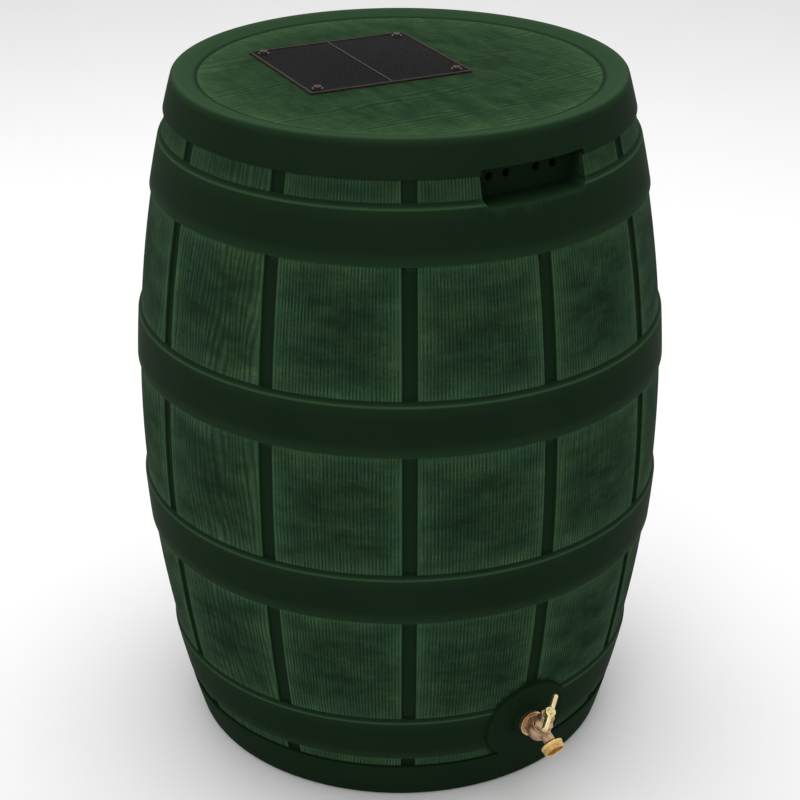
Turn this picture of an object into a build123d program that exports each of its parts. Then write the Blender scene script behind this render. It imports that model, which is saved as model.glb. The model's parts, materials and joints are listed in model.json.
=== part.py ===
"""Rain barrel: a moulded stave-look drum with a screened inlet and a brass tap near its foot.

Millimetres, +Z up. The origin is the centre of the base, on the floor. The tap faces -Y.
"Rho" is a distance from the barrel's axis towards the tap, so a point at rho is at Y = -rho.
"""
import os
from math import asin, cos, hypot, radians, sin, sqrt

from build123d import *

# ---- barrel -------------------------------------------------------------------------------
HEIGHT = 840.0
BELLY_R = 320.0                 # stave surface at mid height
END_R = 261.0                   # stave surface at both ends
WALL = 5.0
HOOP_PROUD = 3.5
GROOVE_DEPTH = 3.5
GROOVE_WIDTH = 16.0
GROOVE_REACH = 160.0            # radial size of the bars that cut the grooves
STAVES = 12
BASE_BAND_TOP = 51.0
RIM_BAND_BOTTOM = 798.0
HOOP_BEVEL = 5.0                # height of the sloping top edge of each hoop
HOOPS = ((66.5, 131.5), (280.0, 345.0), (495.0, 560.0), (708.5, 773.5))
RIM_CORNER_R = 7.0
BASE_CORNER_R = 12.0
RIM_FLAT_R = 252.0              # inner edge of the flat ring on top
DISC_R = 236.0                  # edge of the sunken top disc
DISC_Z = 834.0
CHANNEL_R = (150.0, 215.0)      # stiffening channel under the base
CHANNEL_DEPTH = 6.0
CHANNEL_SLOPE = 7.0
BELLY_ARC_R = ((HEIGHT / 2) ** 2 + (BELLY_R - END_R) ** 2) / (2 * (BELLY_R - END_R))
BELLY_ARC_CENTRE = BELLY_R - BELLY_ARC_R
FIT_CLEARANCE = 0.05            # radial clearance of threads, spindles and squares
CUT_LEAD = 1.0                  # how far a cut runs past the face that it opens

# ---- overflow recess ----------------------------------------------------------------------
RECESS_HALF = 67.0
RECESS_FLOOR = 764.5
RECESS_TOP = 805.0
RECESS_CORNER_R = 10.0          # lower corners
RECESS_BACK = 245.0             # rho of the recess's back wall
RECESS_REACH = 80.0             # from its back wall to beyond the barrel
OVERFLOW_X = (-42.0, -19.5, 19.5, 42.0)
OVERFLOW_Z = 787.0
OVERFLOW_R = 4.75

# ---- screened inlet -----------------------------------------------------------------------
SCREEN_CENTRE = (-22.5, 55.0)
SCREEN_TURN = -6.0              # degrees about +Z
SCREEN_SIZE = (204.0, 186.0)
SCREEN_CORNER_R = 3.0
BINDING_WIDTH = 3.0
BINDING_HEIGHT = 2.2
BINDING_CHAMFER = 0.5
MESH_LIFT = 0.5                 # the mesh lies in the middle of its binding
MESH_THICK = 1.0
MESH_HOLE_R = 2.4
CENTRE_WIRE = (1.6, 1.0)        # width and height
WIRE_CHAMFER = 0.4
INLET_SIZE = (156.0, 138.0)
INLET_CORNER_R = 22.0
SCREW_INSET = 14.0
WASHER_R = 6.5
WASHER_THICK = 1.0
WASHER_BORE_R = 2.3
SCREEN_SCREW_R = 2.1
SCREEN_SCREW_LENGTH = 11.0
SCREEN_HEAD_R = 4.6
SCREEN_HEAD_HEIGHT = 2.8
SCREEN_HEAD_ROUND = 1.4
SCREEN_HEAD_CROSS = (4.8, 1.0, 1.4)     # length, width and depth
SCREEN_INSERT_R = 4.0
SCREEN_INSERT_LENGTH = 10.0
SCREEN_INSERT_FLOOR = 1.0
SCREEN_BOSS_R = 8.0
SCREEN_BOSS_HEIGHT = 8.0

# ---- tap boss on the barrel ---------------------------------------------------------------
BOSS_Z = 98.0
BOSS_R = 56.0
BOSS_PROUD = 5.0
BOSS_ROOT = 12.0                # how far the boss reaches in from its face
INLET_Z = 99.5                  # height of the tap's level inlet axis
PAD_R = 22.0
PAD_FACE = 296.0                # rho of the level seat for the tap's gasket
SLEEVE_R = 22.0
SLEEVE_END = 258.0
INSERT_R = 15.5
INSERT_BACK = 262.0

# ---- tap ----------------------------------------------------------------------------------
TAIL_R = 13.0
TAIL_BACK = 262.5
TAIL_BORE_R = 7.0
TAIL_BORE_END = 302.0
PASSAGE_START = (300.0, 98.5)   # rho and z of the passage from the tail to under the seat
PASSAGE_RUN = (11.5, -4.0)
PASSAGE_R = 4.4
GASKET_R = 15.9
GASKET_THICK = 2.4
FLANGE_R = 16.2
FLANGE_THICK = 3.6
SHOULDER_R = 13.6
SHOULDER_END = 309.0
GLOBE_RHO = 315.0
GLOBE_Z = 100.0
GLOBE_R = 14.5
STEM_ANGLE = 60.0               # stem axis above the horizontal, leaning outwards
NECK_R = 12.4
NECK_TOP = 14.0
CHAMBER_R = 8.0
CHAMBER_FLOOR = -1.5
SEAT_LIP_R = 6.0
SEAT_BORE_R = 4.6
SEAT_BORE_DEPTH = 7.0
SPOUT_R = 7.2
SPOUT_BORE_R = 4.5
SPOUT_BORE_START = 321.0
SPOUT_BEND_R = 24.0
SPOUT_BEND_START = 322.5
SPOUT_RUN = 7.0                 # straight run after the bend
SPOUT_DROP = 30.0               # outlet axis below the horizontal
OUTLET_R = 13.45                # garden hose thread, major radius
OUTLET_RING_R = 14.0
OUTLET_RING_THICK = 3.0
OUTLET_FLARE = (-3.0, 0.5)      # start and end of the cone behind the ring
OUTLET_FLARE_R = 13.2
OUTLET_THREAD_LENGTH = 7.0
THROAT_R = 5.4
OUTLET_MOUTH_R = 10.5
OUTLET_NOTCHES = 24
NOTCH_R = 0.9
NOTCH_CENTRE_R = 14.3
BONNET_PLUG = (10.0, 14.0)
BONNET_PLUG_R = 8.95
BONNET_GASKET_TOP = 15.0
BONNET_GASKET_R = 11.4
BONNET_HEX_TOP = 20.5
BONNET_HEX_R = 12.7
BONNET_CONE_R = 10.8
BONNET_CONE_TOP = 24.5
BONNET_NECK_R = 7.2
BONNET_TOP = 32.5
STEM_THREAD_BORE_R = 5.08
PACKING_FLOOR = 29.5
PACKING_TOP = 33.0
PACKING_R = 6.0
NUT_BOTTOM = 25.0
NUT_TOP = 35.5
NUT_HEX_R = 9.4
NUT_ROUND_R = 9.0               # rounds the corners of the hexagon
NUT_BORE_R = 4.2

# ---- valve disc, stem and handle ----------------------------------------------------------
SEAT_GAP = 0.1
WASHER_TOP = 3.1
SEAT_WASHER_R = 6.25
HOLDER_R = 7.0
HOLDER_RIM = 1.6
HOLDER_TOP = 4.6
SPINDLE_R = 2.2
SPINDLE_TOP = 9.4
SPINDLE_CAP = 1.0
WASHER_SCREW_R = 1.25
WASHER_SCREW_HEAD_R = 3.0
WASHER_SCREW_HEAD = 1.5
WASHER_SCREW_SLOT = (0.8, 0.7)  # width and depth
WASHER_SCREW_LENGTH = 7.9
STEM_BOTTOM = 4.8
STEM_FOOT_R = 4.6
SPINDLE_BORE_TOP = 10.4
STEM_THREAD = (13.0, 24.5)
STEM_THREAD_R = 5.0
STEM_R = 3.75
HUB = (37.0, 45.0)
HUB_R = 6.3
SQUARE = 5.2
HANDLE_LENGTH = 52.0
HANDLE_R = 3.9
HANDLE_END_ROUND = 1.2
HANDLE_TURN = 46.5              # turn of the bar about the stem axis, from upright
HANDLE_SCREW_R = 1.55
HANDLE_SCREW_HEAD_R = 3.5
HANDLE_SCREW_HEAD = 2.3
HANDLE_SCREW_ROUND = 1.2
HANDLE_SCREW_SLOT = (1.1, 1.0)  # width and depth
HANDLE_SCREW_LENGTH = 7.5

os.makedirs("parts", exist_ok=True)


def write(builder, label):
    """Name a finished piece and write it to its own file."""
    builder.part.label = label
    export_step(builder.part, f"parts/{label}.step")


# ---- curves and planes --------------------------------------------------------------------
def stave_point(z, offset=0.0):
    """Point (radius, z) on the belly curve, moved out from it by an offset."""
    return BELLY_ARC_CENTRE + sqrt((BELLY_ARC_R + offset) ** 2 - (z - HEIGHT / 2) ** 2), z


def belly_arc(z0, z1, offset):
    """Belly curve between two heights, at an offset."""
    ends = stave_point(z0, offset), stave_point((z0 + z1) / 2, offset), stave_point(z1, offset)
    return ThreePointArc(*ends)


def barrel_face(inset):
    """Half section of the barrel, staves and hoops, shrunk by an inset for its inside."""
    floor_outer = stave_point(inset, HOOP_PROUD - inset)
    rim_outer = stave_point(HEIGHT - inset, HOOP_PROUD - inset)
    bands = [(z0 + inset, z1 - inset) for z0, z1 in HOOPS]
    levels = [BASE_BAND_TOP - inset] + [z for band in bands for z in band] + [RIM_BAND_BOTTOM + inset]
    channel_in, channel_out = CHANNEL_R[0] - inset, CHANNEL_R[1] + inset
    with BuildSketch(Plane.XZ) as section:
        with BuildLine():
            Polyline((0, inset), (channel_in, inset), (channel_in + CHANNEL_SLOPE, inset + CHANNEL_DEPTH),
                     (channel_out - CHANNEL_SLOPE, inset + CHANNEL_DEPTH), (channel_out, inset), floor_outer)
            belly_arc(inset, levels[0], HOOP_PROUD - inset)
            Line(stave_point(levels[0], HOOP_PROUD - inset), stave_point(levels[0], -inset))
            for start, (z0, z1) in zip(levels[::2], bands):
                belly_arc(start, z0, -inset)
                Line(stave_point(z0, -inset), stave_point(z0, HOOP_PROUD - inset))
                belly_arc(z0, z1 - HOOP_BEVEL, HOOP_PROUD - inset)
                Line(stave_point(z1 - HOOP_BEVEL, HOOP_PROUD - inset), stave_point(z1, -inset))
            belly_arc(levels[-2], levels[-1], -inset)
            Line(stave_point(levels[-1], -inset), stave_point(levels[-1], HOOP_PROUD - inset))
            belly_arc(levels[-1], HEIGHT - inset, HOOP_PROUD - inset)
            Polyline(rim_outer, (RIM_FLAT_R, HEIGHT - inset), (DISC_R, DISC_Z - inset),
                     (0, DISC_Z - inset), (0, inset))
        make_face()
        fillet(section.vertices().sort_by_distance(floor_outer)[0], BASE_CORNER_R - inset)
        fillet(section.vertices().sort_by_distance(rim_outer)[0], RIM_CORNER_R - inset)
    return section.sketch


def belly_solid_face(offset):
    """Half section of the plain belly, without hoops, at an offset from the stave surface."""
    with BuildSketch(Plane.XZ) as section:
        with BuildLine():
            belly_arc(0, HEIGHT, offset)
            Polyline(stave_point(HEIGHT, offset), (0, HEIGHT), (0, 0), stave_point(0, offset))
        make_face()
    return section.sketch


def inlet_plane(rho):
    """Plane across the tap's level inlet axis, facing outwards."""
    return Plane(origin=(0, -rho, INLET_Z), x_dir=(1, 0, 0), z_dir=(0, -1, 0))


def stem_plane(height):
    """Plane across the stem axis, a height above the valve seat."""
    out, up = cos(radians(STEM_ANGLE)), sin(radians(STEM_ANGLE))
    centre = (0, -GLOBE_RHO - height * out, GLOBE_Z + height * up)
    return Plane(origin=centre, x_dir=(1, 0, 0), z_dir=(0, -out, up))


def screen_plane(z):
    """Level plane on the top disc, turned with the screen."""
    turn = radians(SCREEN_TURN)
    return Plane(origin=(*SCREEN_CENTRE, z), x_dir=(cos(turn), sin(turn), 0), z_dir=(0, 0, 1))


def screw_places():
    """The screen's four screw places, in the screen's own plane."""
    return GridLocations(SCREEN_SIZE[0] - 2 * SCREW_INSET, SCREEN_SIZE[1] - 2 * SCREW_INSET, 2, 2)


boss_tilt = asin((HEIGHT / 2 - BOSS_Z) / BELLY_ARC_R)
boss_centre = stave_point(BOSS_Z, BOSS_PROUD)
boss_plane = Plane(origin=(0, -boss_centre[0], boss_centre[1]), x_dir=(1, 0, 0),
                   z_dir=(0, -cos(boss_tilt), -sin(boss_tilt)))

# ---- tools for the barrel shell -----------------------------------------------------------
# The strips of bare stave between the bands, top and bottom heights.
strip_levels = [BASE_BAND_TOP] + [z for hoop in HOOPS for z in hoop] + [RIM_BAND_BOTTOM]
strips = list(zip(strip_levels[::2], strip_levels[1::2]))

with BuildPart() as stave_grooves:
    for low, high in strips:
        with BuildSketch(Plane.XY.offset(low)):
            with PolarLocations(BELLY_R, STAVES, start_angle=-90):
                Rectangle(GROOVE_REACH, GROOVE_WIDTH)
        extrude(amount=high - low)
    revolve(belly_solid_face(-GROOVE_DEPTH), axis=Axis.Z, mode=Mode.SUBTRACT)

# Each groove stands inside the hollow as a rib one wall thick all round.
with BuildPart() as stave_ribs:
    for low, high in strips:
        with BuildSketch(Plane.XY.offset(low - WALL)):
            with PolarLocations(BELLY_R, STAVES, start_angle=-90):
                Rectangle(GROOVE_REACH, GROOVE_WIDTH + 2 * WALL)
        extrude(amount=high - low + 2 * WALL)
    revolve(belly_solid_face(-GROOVE_DEPTH - WALL), axis=Axis.Z, mode=Mode.SUBTRACT)

with BuildPart() as hollow:
    revolve(barrel_face(WALL), axis=Axis.Z)
    add(stave_ribs.part, mode=Mode.SUBTRACT)
    with BuildSketch(Plane.XY.offset(RECESS_FLOOR - WALL)):
        with Locations((0, -RECESS_BACK + WALL)):
            Rectangle(2 * (RECESS_HALF + WALL), RECESS_REACH, align=(Align.CENTER, Align.MAX))
    extrude(amount=RECESS_TOP - RECESS_FLOOR + 2 * WALL, mode=Mode.SUBTRACT)
    with BuildSketch(inlet_plane(SLEEVE_END)):
        Circle(SLEEVE_R)
    extrude(amount=BELLY_R - SLEEVE_END, mode=Mode.SUBTRACT)
    with BuildSketch(screen_plane(DISC_Z - WALL - SCREEN_BOSS_HEIGHT)):
        with screw_places():
            Circle(SCREEN_BOSS_R)
    extrude(amount=SCREEN_BOSS_HEIGHT, mode=Mode.SUBTRACT)

# ---- barrel shell -------------------------------------------------------------------------
recess_plane = Plane(origin=(0, -RECESS_BACK, RECESS_FLOOR), x_dir=(1, 0, 0), z_dir=(0, -1, 0))

with BuildPart() as barrel_shell:
    revolve(barrel_face(0), axis=Axis.Z)
    add(stave_grooves.part, mode=Mode.SUBTRACT)
    # round boss for the tap, square to the belly, with a level seat in its middle
    with BuildSketch(boss_plane.offset(-BOSS_ROOT)):
        Circle(BOSS_R)
    extrude(amount=BOSS_ROOT)
    with BuildSketch(inlet_plane(SLEEVE_END)):
        Circle(PAD_R)
    extrude(amount=PAD_FACE - SLEEVE_END)
    # overflow recess under the rim
    with BuildSketch(recess_plane) as recess_section:
        Rectangle(2 * RECESS_HALF, RECESS_TOP - RECESS_FLOOR, align=(Align.CENTER, Align.MIN))
        fillet(recess_section.vertices().group_by(Axis.Y)[0], RECESS_CORNER_R)
    extrude(amount=RECESS_REACH, mode=Mode.SUBTRACT)
    add(hollow.part, mode=Mode.SUBTRACT)
    # overflow holes
    with BuildSketch(Plane.XZ.offset(RECESS_BACK - 2 * WALL)):
        with Locations(*[(x, OVERFLOW_Z) for x in OVERFLOW_X]):
            Circle(OVERFLOW_R)
    extrude(amount=3 * WALL, mode=Mode.SUBTRACT)
    # inlet through the top disc, and the blind seats for the screen's inserts
    with BuildSketch(screen_plane(DISC_Z)):
        RectangleRounded(*INLET_SIZE, INLET_CORNER_R)
    extrude(amount=-2 * WALL, mode=Mode.SUBTRACT)
    with BuildSketch(screen_plane(DISC_Z)):
        with screw_places():
            Circle(SCREEN_INSERT_R)
    extrude(amount=-SCREEN_INSERT_LENGTH, mode=Mode.SUBTRACT)
    # seat for the tap's insert, with a lip behind it
    with BuildSketch(inlet_plane(INSERT_BACK)):
        Circle(INSERT_R)
    extrude(amount=BELLY_R - INSERT_BACK, mode=Mode.SUBTRACT)
    with BuildSketch(inlet_plane(SLEEVE_END - CUT_LEAD)):
        Circle(TAIL_R)
    extrude(amount=WALL, mode=Mode.SUBTRACT)
write(barrel_shell, "barrel_shell")

# ---- screen over the inlet ----------------------------------------------------------------
with BuildPart() as screen_edge_binding:
    with BuildSketch(screen_plane(DISC_Z)):
        RectangleRounded(*SCREEN_SIZE, SCREEN_CORNER_R)
        Rectangle(SCREEN_SIZE[0] - 2 * BINDING_WIDTH, SCREEN_SIZE[1] - 2 * BINDING_WIDTH, mode=Mode.SUBTRACT)
    extrude(amount=BINDING_HEIGHT)
    chamfer(screen_edge_binding.faces().sort_by(Axis.Z)[-1].outer_wire().edges(), BINDING_CHAMFER)
write(screen_edge_binding, "screen_edge_binding")

with BuildPart() as screen_mesh:
    with BuildSketch(screen_plane(DISC_Z + MESH_LIFT)):
        Rectangle(SCREEN_SIZE[0] - 2 * BINDING_WIDTH, SCREEN_SIZE[1] - 2 * BINDING_WIDTH)
        with screw_places():
            Circle(MESH_HOLE_R, mode=Mode.SUBTRACT)
    extrude(amount=MESH_THICK)
write(screen_mesh, "screen_mesh")

mesh_top = DISC_Z + MESH_LIFT + MESH_THICK

with BuildPart() as screen_centre_wire:
    with BuildSketch(screen_plane(mesh_top)):
        Rectangle(CENTRE_WIRE[0], SCREEN_SIZE[1] - 2 * BINDING_WIDTH)
    extrude(amount=CENTRE_WIRE[1])
    chamfer(screen_centre_wire.faces().sort_by(Axis.Z)[-1].edges().sort_by(SortBy.LENGTH)[-2:], WIRE_CHAMFER)
write(screen_centre_wire, "screen_centre_wire")

with BuildPart() as screen_washers:
    with BuildSketch(screen_plane(mesh_top)):
        with screw_places():
            Circle(WASHER_R)
            Circle(WASHER_BORE_R, mode=Mode.SUBTRACT)
    extrude(amount=WASHER_THICK)
write(screen_washers, "screen_washers")

with BuildPart() as screen_screws:
    with BuildSketch(screen_plane(mesh_top + WASHER_THICK)):
        with screw_places():
            Circle(SCREEN_HEAD_R)
    extrude(amount=SCREEN_HEAD_HEIGHT)
    fillet(screen_screws.faces().group_by(Axis.Z)[-1].edges(), SCREEN_HEAD_ROUND)
    with BuildSketch(screen_plane(mesh_top + WASHER_THICK + SCREEN_HEAD_HEIGHT)):
        with screw_places():
            Rectangle(SCREEN_HEAD_CROSS[0], SCREEN_HEAD_CROSS[1])
            Rectangle(SCREEN_HEAD_CROSS[1], SCREEN_HEAD_CROSS[0])
    extrude(amount=-SCREEN_HEAD_CROSS[2], mode=Mode.SUBTRACT)
    with BuildSketch(screen_plane(mesh_top + WASHER_THICK)):
        with screw_places():
            Circle(SCREEN_SCREW_R)
    extrude(amount=-SCREEN_SCREW_LENGTH)
write(screen_screws, "screen_screws")

with BuildPart() as screen_inserts:
    with BuildSketch(screen_plane(DISC_Z - SCREEN_INSERT_LENGTH)):
        with screw_places():
            Circle(SCREEN_INSERT_R)
    extrude(amount=SCREEN_INSERT_LENGTH)
    with BuildSketch(screen_plane(DISC_Z)):
        with screw_places():
            Circle(SCREEN_SCREW_R + FIT_CLEARANCE)
    extrude(amount=SCREEN_INSERT_FLOOR - SCREEN_INSERT_LENGTH, mode=Mode.SUBTRACT)
write(screen_inserts, "screen_inserts")

# ---- tap: fixed pieces --------------------------------------------------------------------
with BuildPart() as tap_insert:
    with BuildSketch(inlet_plane(INSERT_BACK)):
        Circle(INSERT_R)
        Circle(TAIL_R + FIT_CLEARANCE, mode=Mode.SUBTRACT)
    extrude(amount=PAD_FACE - INSERT_BACK)
write(tap_insert, "tap_insert")

with BuildPart() as tap_gasket:
    with BuildSketch(inlet_plane(PAD_FACE)):
        Circle(GASKET_R)
        Circle(TAIL_R + FIT_CLEARANCE, mode=Mode.SUBTRACT)
    extrude(amount=GASKET_THICK)
write(tap_gasket, "tap_gasket")

flange_back = PAD_FACE + GASKET_THICK
drop = radians(SPOUT_DROP)
bend_end = (SPOUT_BEND_START + SPOUT_BEND_R * sin(drop), GLOBE_Z - SPOUT_BEND_R * (1 - cos(drop)))
spout_end = (bend_end[0] + SPOUT_RUN * cos(drop), bend_end[1] - SPOUT_RUN * sin(drop))


def outlet_plane(distance):
    """Plane across the outlet axis, a distance beyond the end of the spout."""
    centre = (0, -spout_end[0] - distance * cos(drop), spout_end[1] - distance * sin(drop))
    return Plane(origin=centre, x_dir=(1, 0, 0), z_dir=(0, -cos(drop), -sin(drop)))


def spout_path(start_rho):
    """Level run out of the globe, the bend, then the straight run down to the outlet."""
    middle = drop / 2
    bend = [(0, -SPOUT_BEND_START - SPOUT_BEND_R * sin(a), GLOBE_Z - SPOUT_BEND_R * (1 - cos(a)))
            for a in (0, middle, drop)]
    with BuildLine() as path:
        Line((0, -start_rho, GLOBE_Z), bend[0])
        ThreePointArc(*bend)
        Line(bend[-1], (0, -spout_end[0], spout_end[1]))
    return path.line


def spout_section(start_rho, radius):
    """Round section of the spout at the start of its path."""
    with BuildSketch(Plane(origin=(0, -start_rho, GLOBE_Z), x_dir=(1, 0, 0), z_dir=(0, -1, 0))) as section:
        Circle(radius)
    return section.sketch


outlet_length = OUTLET_RING_THICK + OUTLET_THREAD_LENGTH
passage_plane = Plane(origin=(0, -PASSAGE_START[0], PASSAGE_START[1]), x_dir=(1, 0, 0),
                      z_dir=(0, -PASSAGE_RUN[0], PASSAGE_RUN[1]))

with BuildPart() as tap_body:
    with BuildSketch(inlet_plane(TAIL_BACK)):
        Circle(TAIL_R)
    extrude(amount=flange_back - TAIL_BACK)
    with BuildSketch(inlet_plane(flange_back)):
        Circle(FLANGE_R)
    extrude(amount=FLANGE_THICK)
    with BuildSketch(inlet_plane(flange_back + FLANGE_THICK)):
        RegularPolygon(SHOULDER_R, 6)
    extrude(amount=SHOULDER_END - flange_back - FLANGE_THICK)
    with Locations((0, -GLOBE_RHO, GLOBE_Z)):
        Sphere(GLOBE_R)
    with BuildSketch(stem_plane(0)):
        Circle(NECK_R)
    extrude(amount=NECK_TOP)
    sweep(spout_section(GLOBE_RHO, SPOUT_R), path=spout_path(GLOBE_RHO))
    with BuildSketch(outlet_plane(OUTLET_FLARE[0])):
        Circle(SPOUT_R)
    with BuildSketch(outlet_plane(OUTLET_FLARE[1])):
        Circle(OUTLET_FLARE_R)
    loft()
    with BuildSketch(outlet_plane(0)):
        Circle(OUTLET_RING_R)
        with PolarLocations(NOTCH_CENTRE_R, OUTLET_NOTCHES):
            Circle(NOTCH_R, mode=Mode.SUBTRACT)
    extrude(amount=OUTLET_RING_THICK)
    with BuildSketch(outlet_plane(OUTLET_RING_THICK)):
        Circle(OUTLET_R)
    extrude(amount=OUTLET_THREAD_LENGTH)
    # waterways
    with BuildSketch(inlet_plane(TAIL_BACK)):
        Circle(TAIL_BORE_R)
    extrude(amount=TAIL_BORE_END - TAIL_BACK, mode=Mode.SUBTRACT)
    with BuildSketch(passage_plane):
        Circle(PASSAGE_R)
    extrude(amount=hypot(*PASSAGE_RUN), mode=Mode.SUBTRACT)
    with BuildSketch(stem_plane(-SEAT_BORE_DEPTH)):
        Circle(SEAT_BORE_R)
    extrude(amount=SEAT_BORE_DEPTH, mode=Mode.SUBTRACT)
    with BuildSketch(stem_plane(CHAMBER_FLOOR)):
        Circle(CHAMBER_R)
        Circle(SEAT_LIP_R, mode=Mode.SUBTRACT)
    extrude(amount=-CHAMBER_FLOOR, mode=Mode.SUBTRACT)
    with BuildSketch(stem_plane(0)):
        Circle(CHAMBER_R)
    extrude(amount=BONNET_PLUG[0], mode=Mode.SUBTRACT)
    with BuildSketch(stem_plane(BONNET_PLUG[0])):
        Circle(BONNET_PLUG_R + FIT_CLEARANCE)
    extrude(amount=GLOBE_R + CUT_LEAD - BONNET_PLUG[0], mode=Mode.SUBTRACT)
    bore_path = spout_path(SPOUT_BORE_START)
    sweep(spout_section(SPOUT_BORE_START, SPOUT_BORE_R), path=bore_path, mode=Mode.SUBTRACT)
    with BuildSketch(outlet_plane(-CUT_LEAD)):
        Circle(THROAT_R)
    extrude(amount=CUT_LEAD + OUTLET_RING_THICK, mode=Mode.SUBTRACT)
    with BuildSketch(outlet_plane(outlet_length)):
        Circle(OUTLET_MOUTH_R)
    extrude(amount=-OUTLET_THREAD_LENGTH, mode=Mode.SUBTRACT)
write(tap_body, "tap_body")

with BuildPart() as bonnet_gasket:
    with BuildSketch(stem_plane(NECK_TOP)):
        Circle(BONNET_GASKET_R)
        Circle(BONNET_PLUG_R + FIT_CLEARANCE, mode=Mode.SUBTRACT)
    extrude(amount=BONNET_GASKET_TOP - NECK_TOP)
write(bonnet_gasket, "bonnet_gasket")

with BuildPart() as bonnet:
    with BuildSketch(stem_plane(BONNET_PLUG[0])):
        Circle(BONNET_PLUG_R)
    extrude(amount=BONNET_GASKET_TOP - BONNET_PLUG[0])
    with BuildSketch(stem_plane(BONNET_GASKET_TOP)):
        RegularPolygon(BONNET_HEX_R, 6)
    extrude(amount=BONNET_HEX_TOP - BONNET_GASKET_TOP)
    with BuildSketch(stem_plane(BONNET_HEX_TOP)):
        Circle(BONNET_CONE_R)
    with BuildSketch(stem_plane(BONNET_CONE_TOP)):
        Circle(BONNET_NECK_R)
    loft()
    with BuildSketch(stem_plane(BONNET_HEX_TOP)):
        Circle(BONNET_NECK_R)
    extrude(amount=BONNET_TOP - BONNET_HEX_TOP)
    with BuildSketch(stem_plane(BONNET_PLUG[0])):
        Circle(STEM_THREAD_BORE_R)
    extrude(amount=PACKING_FLOOR - BONNET_PLUG[0], mode=Mode.SUBTRACT)
    with BuildSketch(stem_plane(PACKING_FLOOR)):
        Circle(PACKING_R)
    extrude(amount=BONNET_TOP - PACKING_FLOOR, mode=Mode.SUBTRACT)
write(bonnet, "bonnet")

with BuildPart() as stem_packing:
    with BuildSketch(stem_plane(PACKING_FLOOR)):
        Circle(PACKING_R)
        Circle(STEM_R + FIT_CLEARANCE, mode=Mode.SUBTRACT)
    extrude(amount=PACKING_TOP - PACKING_FLOOR)
write(stem_packing, "stem_packing")

with BuildPart() as packing_nut:
    with BuildSketch(stem_plane(NUT_BOTTOM)):
        RegularPolygon(NUT_HEX_R, 6)
    extrude(amount=NUT_TOP - NUT_BOTTOM)
    with BuildSketch(stem_plane(NUT_BOTTOM)):
        Circle(NUT_ROUND_R)
    extrude(amount=NUT_TOP - NUT_BOTTOM, mode=Mode.INTERSECT)
    with BuildSketch(stem_plane(NUT_BOTTOM)):
        Circle(BONNET_NECK_R + FIT_CLEARANCE)
    extrude(amount=PACKING_TOP - NUT_BOTTOM, mode=Mode.SUBTRACT)
    with BuildSketch(stem_plane(PACKING_TOP)):
        Circle(NUT_BORE_R)
    extrude(amount=NUT_TOP - PACKING_TOP, mode=Mode.SUBTRACT)
write(packing_nut, "packing_nut")

# ---- valve disc, which lifts with the stem but need not turn ------------------------------
with BuildPart() as disc_holder:
    with BuildSketch(stem_plane(HOLDER_RIM)):
        Circle(HOLDER_R)
        Circle(SEAT_WASHER_R, mode=Mode.SUBTRACT)
    extrude(amount=WASHER_TOP - HOLDER_RIM)
    with BuildSketch(stem_plane(WASHER_TOP)):
        Circle(HOLDER_R)
    extrude(amount=HOLDER_TOP - WASHER_TOP)
    with BuildSketch(stem_plane(HOLDER_TOP)):
        Circle(SPINDLE_R)
    extrude(amount=SPINDLE_TOP - HOLDER_TOP)
    with BuildSketch(stem_plane(WASHER_TOP)):
        Circle(WASHER_SCREW_R)
    extrude(amount=SPINDLE_TOP - WASHER_TOP - SPINDLE_CAP, mode=Mode.SUBTRACT)
write(disc_holder, "disc_holder")

with BuildPart() as seat_washer:
    with BuildSketch(stem_plane(SEAT_GAP)):
        Circle(SEAT_WASHER_R)
        Circle(WASHER_SCREW_R, mode=Mode.SUBTRACT)
    extrude(amount=WASHER_TOP - SEAT_GAP)
write(seat_washer, "seat_washer")

with BuildPart() as washer_screw:
    with BuildSketch(stem_plane(SEAT_GAP)):
        Circle(WASHER_SCREW_HEAD_R)
    extrude(amount=-WASHER_SCREW_HEAD)
    with BuildSketch(stem_plane(SEAT_GAP - WASHER_SCREW_HEAD)):
        Rectangle(WASHER_SCREW_SLOT[0], 2 * WASHER_SCREW_HEAD_R)
    extrude(amount=WASHER_SCREW_SLOT[1], mode=Mode.SUBTRACT)
    with BuildSketch(stem_plane(SEAT_GAP)):
        Circle(WASHER_SCREW_R)
    extrude(amount=WASHER_SCREW_LENGTH)
write(washer_screw, "washer_screw")

# ---- stem and handle ----------------------------------------------------------------------
with BuildPart() as valve_stem:
    with BuildSketch(stem_plane(STEM_BOTTOM)):
        Circle(STEM_FOOT_R)
    extrude(amount=STEM_THREAD[0] - STEM_BOTTOM)
    with BuildSketch(stem_plane(STEM_THREAD[0])):
        Circle(STEM_THREAD_R)
    extrude(amount=STEM_THREAD[1] - STEM_THREAD[0])
    with BuildSketch(stem_plane(STEM_THREAD[1])):
        Circle(STEM_R)
    extrude(amount=HUB[0] - STEM_THREAD[1])
    with BuildSketch(stem_plane(HUB[0])):
        Rectangle(SQUARE, SQUARE)
    extrude(amount=HUB[1] - HUB[0])
    with BuildSketch(stem_plane(STEM_BOTTOM)):
        Circle(SPINDLE_R + FIT_CLEARANCE)
    extrude(amount=SPINDLE_BORE_TOP - STEM_BOTTOM, mode=Mode.SUBTRACT)
    with BuildSketch(stem_plane(HUB[1])):
        Circle(HANDLE_SCREW_R)
    extrude(amount=HUB[0] - HUB[1], mode=Mode.SUBTRACT)
write(valve_stem, "valve_stem")

hub_plane = stem_plane((HUB[0] + HUB[1]) / 2)
bar_direction = hub_plane.from_local_coords(Vector(sin(radians(HANDLE_TURN)), cos(radians(HANDLE_TURN)), 0))
bar_axis = bar_direction - hub_plane.origin
bar_end = hub_plane.origin - bar_axis * (HANDLE_LENGTH / 2)

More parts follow.
